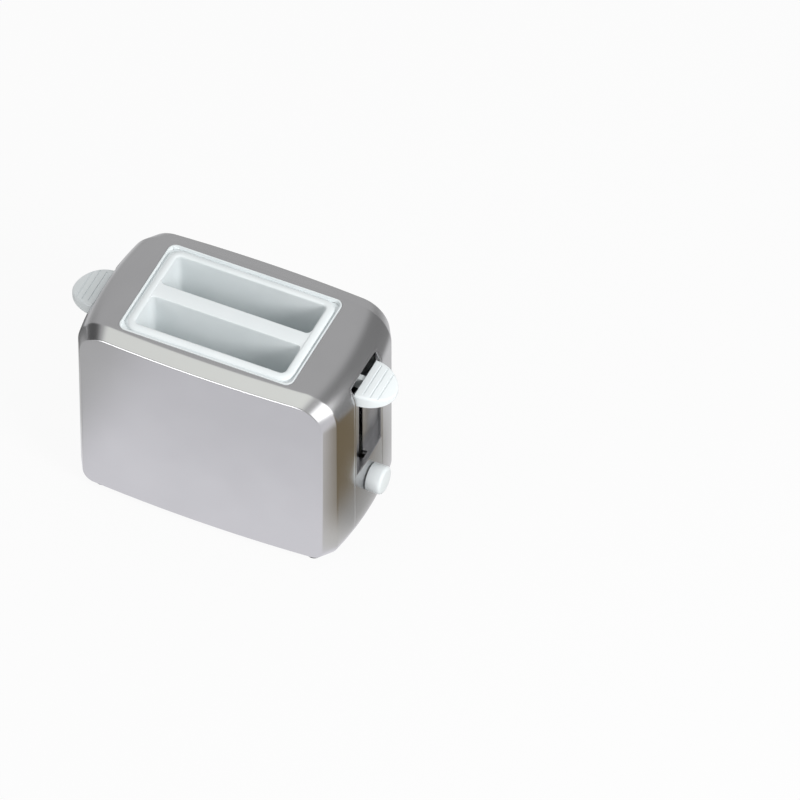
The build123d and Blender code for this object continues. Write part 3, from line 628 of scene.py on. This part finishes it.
# One well's walls, clockwise from above like the ring, whose columns it shares on its outer side.
# A shelf's tongue runs through a window in each end wall, up to a height of window_top.
ring_steps = ring_loops(tray_walk(), [(slot_half_x, slots_half_y, slot_radius, slot_edge)])[0]
on_back = ring_steps[:, 1] > bridge_foot_y - 0.001
back_walk = np.roll(ring_steps[on_back], -np.argmin(on_back), 0)
turn = np.linspace(0, pi / 2, 9)
inner_corner = np.stack([tray_x + corner_core_x + slot_radius * np.cos(turn),
                         bridge_foot_y - slot_radius * np.sin(turn), slot_edge + 0 * turn], -1)
along = np.linspace(corner_core_x, -corner_core_x, 29)
bridge_side = np.stack([tray_x + along, bridge_half_y + 0 * along, slot_edge + 0 * along], -1)
far_corner = inner_corner[::-1] * (-1, 1, 1) + (2 * tray_x, 0, 0)
well_walk = np.concatenate([back_walk, inner_corner[1:], bridge_side[1:-1], far_corner[:-1]])
well_rows = np.array([slot_edge, 124.4, 121.0, 114.0, 102.0, 86.0, window_top, 50.0, 28.0, well_foot])
well = np.repeat(well_walk[None], len(well_rows), 0)
well[..., 2] = well_rows[:, None]
by_window = np.abs(well[..., 1] - well_y) <= window_half_y + 0.01
in_window = by_window & np.roll(by_window, -1, 1)
in_window &= np.abs(well[..., 0] - tray_x) > slot_half_x - 0.1
in_window = in_window[:-1] & (well[:-1, :, 2] <= window_top + 0.01)
front_well = (well * (1, -1, 1))[:, ::-1]
tray_grids += [(well, True, in_window), (front_well, True, np.roll(in_window[:, ::-1], -1, 1))]

# The bridge between the slots, whose ends widen round the slots' corners and run into the bead
bridge_end_x = slot_half_x + 0.8
bridge_x = np.concatenate([corner_core_x + slot_radius * np.sin(turn)[1:], [bridge_end_x]])
bridge_x = np.concatenate([-bridge_x[::-1], along[::-1], bridge_x])
past = np.clip(np.abs(bridge_x) - corner_core_x, 0, slot_radius)
bridge_half = bridge_foot_y - np.sqrt(slot_radius ** 2 - past ** 2)
bridge_half = np.where(np.abs(bridge_x) < corner_core_x + 0.001, bridge_half_y, bridge_half)
turn = np.linspace(0, pi / 2, 5)
edge_in = bridge_round * (1 - np.cos(turn))
edge_z = slot_edge + (bridge_top - slot_edge) * np.sin(turn)
bridge_y = bridge_half - edge_in[:, None]
bridge_y = np.concatenate([bridge_y, [0 * bridge_half], -bridge_y[::-1]])
bridge_z = np.concatenate([edge_z, [bridge_top], edge_z[::-1]])[:, None] * np.ones_like(bridge_half)
bridge = np.stack([tray_x + bridge_x * np.ones_like(bridge_z), bridge_y, bridge_z], -1)
tray_grids.append((bridge, False, None))
tray_skin = grid_piece("toast_tray", tray_grids, "housing", white, replaced=("slot_tray",))
thin = tray_skin.vertex_groups.new(name="wall")
heights = np.array([vertex.co.z for vertex in tray_skin.data.vertices]) / millimetre
thin.add(np.flatnonzero(heights < bead_foot + 0.3).tolist(), 1.0, "REPLACE")
thicken(tray_skin, tray_wall)
tray_skin.modifiers["wall"].vertex_group = "wall"
tray_skin.modifiers["wall"].thickness_vertex_group = 0.28


# Timer knob: a white moulded drum with a generous round to its slightly domed face. It is bored
# for the end of the steel shaft, on which it sits.
knob_x, knob_z, knob_radius, knob_round, knob_bore = (81.4, 90.4), 35.0, 8.2, 2.0, (2.55, 5.6)
turn = np.linspace(0, pi / 2, 9)
knob_profile = [(knob_x[0] + knob_bore[1], 0.0), (knob_x[0] + knob_bore[1], knob_bore[0]),
                (knob_x[0], knob_bore[0]), (knob_x[0], knob_radius - 0.3), (knob_x[0] + 0.3, knob_radius)]
knob_core_x, knob_core_radius = knob_x[1] - knob_round, knob_radius - knob_round
knob_profile += [(knob_core_x + knob_round * sin(t), knob_core_radius + knob_round * cos(t)) for t in turn]
knob_profile += [(knob_x[1] + 0.15, 3.2), (knob_x[1] + 0.2, 0.0)]
knob_profile = np.array(knob_profile)
around = np.linspace(0, 2 * pi, 64, endpoint=False)
knob_points = np.stack([
    knob_profile[:, :1] + 0 * around,
    knob_profile[:, 1:] * np.cos(around),
    knob_z - knob_profile[:, 1:] * np.sin(around),
], -1)
grid_piece("knob_skin", [(knob_points, True, None)], "knob", white,
           replaced=("timer_knob",), soft_angle=50.0)


# Lift springs: a coil of bright steel wire round each guide rod. It stands on the plate and carries
# the lift's yoke on its upper end. The real spring shortens as the lift goes down; this coil keeps one
# length.
def drawn_steel(name, colour, roughness):
    """Steel with fine lines along X and Z, as drawing and turning leave them."""
    steel = Finish(name)
    lines = steel.noise(steel.place(Scale=(0.15, 1.0, 0.15)), 0.35, detail=2.0)
    dull = steel.noise(steel.place(), 6.0)
    darker = tuple(0.86 * channel for channel in colour)
    steel.set(
        Base_Color=steel.ramp(dull * 0.6 + lines * 0.4, ((0.3, darker), (0.7, colour))),
        Metallic=1.0,
        Roughness=roughness + 0.12 * lines + 0.08 * dull,
        Normal=steel.bump(lines, 0.01),
    )
    return steel


bright_steel = drawn_steel("bright_steel", (0.62, 0.61, 0.59), 0.20)
spring_turns, coil_radius, wire_radius, lift_travel = 17, 2.7, 0.35, 50.0
for end in ("right", "left"):
    low, high = node_box("lift_spring_" + end)
    rod_x = (low[0] + high[0]) / 2
    length = high[2] - low[2] - 2 * wire_radius
    along = np.linspace(0, 1, spring_turns * 24 + 1)
    angle = 2 * pi * spring_turns * along[:, None]
    section = np.linspace(0, 2 * pi, 10, endpoint=False)[None, :]
    thick = wire_radius * np.where((along == 0) | (along == 1), 0.0, 1.0)[:, None]
    thick = np.concatenate([thick[:1], thick[1:2], thick[1:-1], thick[-2:-1], thick[-1:]])
    angle = np.concatenate([angle[:1], angle[:1], angle[1:-1], angle[-1:], angle[-1:]])
    rise = low[2] + wire_radius + length * angle / (2 * pi * spring_turns)
    out = coil_radius + thick * np.cos(section)
    coil = np.stack([rod_x + out * np.cos(angle), out * np.sin(angle), rise + thick * np.sin(section)], -1)
    spring = grid_piece("spring_coil_" + end, [(coil, True, None)], "housing", bright_steel,
                        replaced=("lift_spring_" + end,), soft_angle=80.0)
    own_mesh(spring)


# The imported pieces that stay, each with the finish of its own slot: the ears, the mechanism's
# pale parts, the grey plate, the dark feet and rings, the rods and pins, and the screws.
bearing = Finish("mechanism_plastic")
bearing_cloud = bearing.noise(bearing.place(), 9.0, detail=3.0)
bearing.set(
    Base_Color=bearing.ramp(bearing_cloud, ((0.3, (0.62, 0.61, 0.58)), (0.7, (0.69, 0.68, 0.65)))),
    Roughness=0.42 + 0.10 * bearing_cloud,
    Normal=bearing.bump(bearing_cloud, 0.03),
)
base_grey = Finish("base_plastic")
base_grain = base_grey.noise(base_grey.place(), 0.7, detail=3.0)
base_cloud = base_grey.noise(base_grey.place(), 22.0)
base_grey.set(
    Base_Color=base_grey.ramp(base_cloud * 0.6 + base_grain * 0.4,
                              ((0.3, (0.155, 0.155, 0.165)), (0.7, (0.19, 0.19, 0.20)))),
    Roughness=0.55 + 0.15 * base_grain,
    Normal=base_grey.bump(base_grain, 0.05),
)
rubber = Finish("dark_rubber")
rubber_grain = rubber.noise(rubber.place(), 0.5, detail=3.0)
rubber.set(
    Base_Color=rubber.ramp(rubber_grain, ((0.3, (0.022, 0.022, 0.024)), (0.7, (0.038, 0.038, 0.04)))),
    Roughness=0.72 + 0.15 * rubber_grain,
    Normal=rubber.bump(rubber_grain, 0.06),
)
finishes = {
    "silver_plastic": silver,
    "white_plastic": white,
    "mechanism_plastic": bearing,
    "base_plastic": base_grey,
    "dark_rubber": rubber,
    "bright_steel": bright_steel,
    "screw_steel": drawn_steel("screw_steel", (0.50, 0.50, 0.49), 0.30),
}
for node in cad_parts.values():
    for held in node.material_slots:
        held.material = finishes[held.material.name.split(".")[0]].material


# Floor: a wide pale sheet, white to the camera but for the object's shadow. To gloss it glows with
# painted reflections, whose colours are set further down.
floor_mesh = bpy.data.meshes.new("floor")
floor_half = 6.0
floor_corners = [(x * floor_half, y * floor_half, 0.0) for x, y in ((-1, -1), (1, -1), (1, 1), (-1, 1))]
floor_mesh.from_pydata(floor_corners, [], [(0, 1, 2, 3)])
floor = bpy.data.objects.new("floor", floor_mesh)
bpy.context.scene.collection.objects.link(floor)
floor_finish = Finish("floor")
paths = floor_finish.node("ShaderNodeLightPath")
direct = floor_finish.level(paths["Is Camera Ray"]) + floor_finish.level(paths["Is Transmission Ray"])
mirrored = floor_finish.level(paths["Is Glossy Ray"])
floor_finish.set(Base_Color=(0.60, 0.60, 0.60, 1.0), Roughness=0.9, Specular_IOR_Level=0.0)
floor_place = floor_finish.place()
across = floor_finish.node("ShaderNodeSeparateXYZ", values={"Vector": floor_place})


def ramp_up(finish, value, start, full):
    """0 below start and 1 above full, eased between them."""
    values = {"Value": value, "From Min": start, "From Max": full, "To Min": 0.0, "To Max": 1.0}
    smooth = {"interpolation_type": "SMOOTHSTEP"}
    return finish.level(finish.node("ShaderNodeMapRange", smooth, values)["Result"])


def blend_colours(finish, share, first, second):
    """The first colour where the share is 0 and the second where it is 1."""
    mix = finish.node("ShaderNodeMix", {"data_type": "RGBA"})[2].node
    for number, value in ((0, share), (6, first), (7, second)):
        finish.put(mix.inputs[number], value)
    return mix.outputs[2]


# Painted reflections, seen only by the gloss: a pale floor in front, greyer behind and to the left, a dim
# brown patch with grey round it beside the timer end, and dark grey ones behind it and at the far left
floor_x, floor_y = floor_finish.level(across["X"]), floor_finish.level(across["Y"])
near = ramp_up(floor_finish, floor_y, -0.15, -0.06)
painted_reflection_colour = floor_finish.ramp(near, ((0.0, (0.83, 0.825, 0.86)), (1.0, (0.98, 0.97, 1.015))))
floor_left = 0.0 - floor_x
before_back = ramp_up(floor_finish, 0.095 - floor_y, 0.0, 0.045)
beside = ramp_up(floor_finish, floor_x, 0.076, 0.092) * ramp_up(floor_finish, floor_y, -0.075, -0.035)
close_by = ramp_up(floor_finish, floor_x, 0.078, 0.094) * ramp_up(floor_finish, floor_y, -0.035, 0.0)
brown_reflection_mask = ramp_up(floor_finish, floor_x, 0.092, 0.118) * ramp_up(floor_finish, floor_y, -0.065, -0.015)
far_right = ramp_up(floor_finish, floor_x, 0.13, 0.22) * ramp_up(floor_finish, floor_y, 0.02, 0.10)
far_left = ramp_up(floor_finish, floor_left, 0.12, 0.16) * ramp_up(floor_finish, floor_y, 0.0, 0.03)
# Each patch paints a reflection into the colour that the gloss sees on the floor
for share, shade in (
    (ramp_up(floor_finish, floor_left, 0.072, 0.125), (0.60, 0.60, 0.60, 1.0)),
    (ramp_up(floor_finish, floor_y, -0.01, 0.08), (0.72, 0.72, 0.73, 1.0)),
    (ramp_up(floor_finish, floor_y, 0.15, 0.40), (0.50, 0.50, 0.50, 1.0)),
    (beside * before_back, (0.76, 0.75, 0.72, 1.0)),
    (close_by * before_back, (0.42, 0.42, 0.41, 1.0)),
    (brown_reflection_mask * before_back, (0.195, 0.145, 0.075, 1.0)),
    (far_right, (0.28, 0.28, 0.28, 1.0)),
    (far_left * ramp_up(floor_finish, 0.13 - floor_y, 0.0, 0.04), (0.14, 0.14, 0.14, 1.0)),
):
    painted_reflection_colour = blend_colours(floor_finish, share, painted_reflection_colour, shade)


def glow(colour):
    """An even light of a colour, at its own strength."""
    return floor_finish.node("ShaderNodeEmission", values={"Color": colour, "Strength": 1.0})["Emission"]


def shader_mix(share, first, second):
    """The first shader where the share is 0 and the second where it is 1."""
    return floor_finish.node("ShaderNodeMixShader", values={0: share, 1: first, 2: second})["Shader"]


seen_share, mirrored_share = 0.93, 0.95
seen_floor = shader_mix(direct * seen_share, floor_finish.shader.outputs["BSDF"], glow((1, 1, 1, 1)))
# To gloss the floor glows with the painted reflection colours
whole_floor = shader_mix(mirrored * mirrored_share, seen_floor, glow(painted_reflection_colour))
floor_finish.put(floor_finish.tree.nodes["Material Output"].inputs["Surface"], whole_floor)
floor_mesh.materials.append(floor_finish.material)


# Room: white for the camera, even for soft light, and for gloss a bright ceiling over dim walls
# with a bright strip in front, a window at the timer end and two darker walls
class Sky(Finish):
    """The world's light, with the same node calls as a finish."""

    def __init__(self, name):
        self.world = bpy.data.worlds.new(name)
        self.world.use_nodes = True
        self.tree = self.world.node_tree
        self.shader = self.tree.nodes["Background"]


sky = Sky("studio")
bpy.context.scene.world = sky.world
facing = sky.node("ShaderNodeTexCoord")["Generated"]
paths = sky.node("ShaderNodeLightPath")


def towards(direction, start, full):
    """How far the room direction lies near a given one: 0 below one cosine and 1 above another."""
    unit = Vector(direction).normalized()
    cosine = sky.node("ShaderNodeVectorMath", {"operation": "DOT_PRODUCT"}, {0: facing, 1: unit})["Value"]
    ranged = sky.node("ShaderNodeMapRange", {"interpolation_type": "SMOOTHSTEP"}, {
        "Value": cosine, "From Min": start, "From Max": full, "To Min": 0.0, "To Max": 1.0})
    return sky.level(ranged["Result"])


ceiling = towards((-0.10, -0.12, 0.96), 0.84, 0.97)
front_strip = towards((-0.3, -0.93, 0.15), 0.92, 0.985)
right_window = towards((0.93, -0.05, 0.345), 0.87, 0.93)
left_wall = towards((-1.0, -0.15, 0.10), 0.72, 0.90)
right_wall = towards((0.66, 0.66, 0.24), 0.70, 0.92)
lit_walls = 0.54 + 0.60 * ceiling + 4.0 * front_strip + 1.7 * right_window
room = lit_walls - 0.42 * left_wall - 0.27 * right_wall
room = room.maths("MAXIMUM", room, 0.05)
soft = 0.26 + 0.50 * towards((-0.05, 0.10, 0.95), 0.0, 0.95)
glossy = sky.level(paths["Is Glossy Ray"])
camera_ray = sky.level(paths["Is Camera Ray"])
strength = soft + glossy * (room - soft) + camera_ray * (1.0 - soft)
tint = blend_colours(sky, glossy * ceiling, (1.0, 1.0, 1.0, 1.0), (0.985, 1.0, 0.95, 1.0))
sky.set(Color=tint, Strength=strength)


# Lamps: a soft box at the right gives the shadows their side, and a weak one at the left fills
# them. The gloss mirrors neither.
lamp_aim = Vector((0.0, 0.0, 0.08))


def soft_box(name, place, side, power):
    """A square lamp that looks at the middle of the toaster."""
    lamp = bpy.data.lights.new(name, "AREA")
    lamp.shape = "SQUARE"
    lamp.size = side
    lamp.energy = power
    holder = bpy.data.objects.new(name, lamp)
    bpy.context.scene.collection.objects.link(holder)
    holder.location = place
    holder.rotation_euler = (lamp_aim - Vector(place)).to_track_quat("-Z", "Y").to_euler()
    holder.visible_glossy = False


soft_box("right", (1.18, -0.50, 0.80), 0.5, 15.5)
soft_box("left", (-0.85, -0.95, 0.60), 0.6, 3.0)

for leftover in ("Cube", "Light", "Camera"):
    if leftover in bpy.data.objects:
        bpy.data.objects.remove(bpy.data.objects[leftover])
bpy.context.scene.view_settings.view_transform = "Standard"
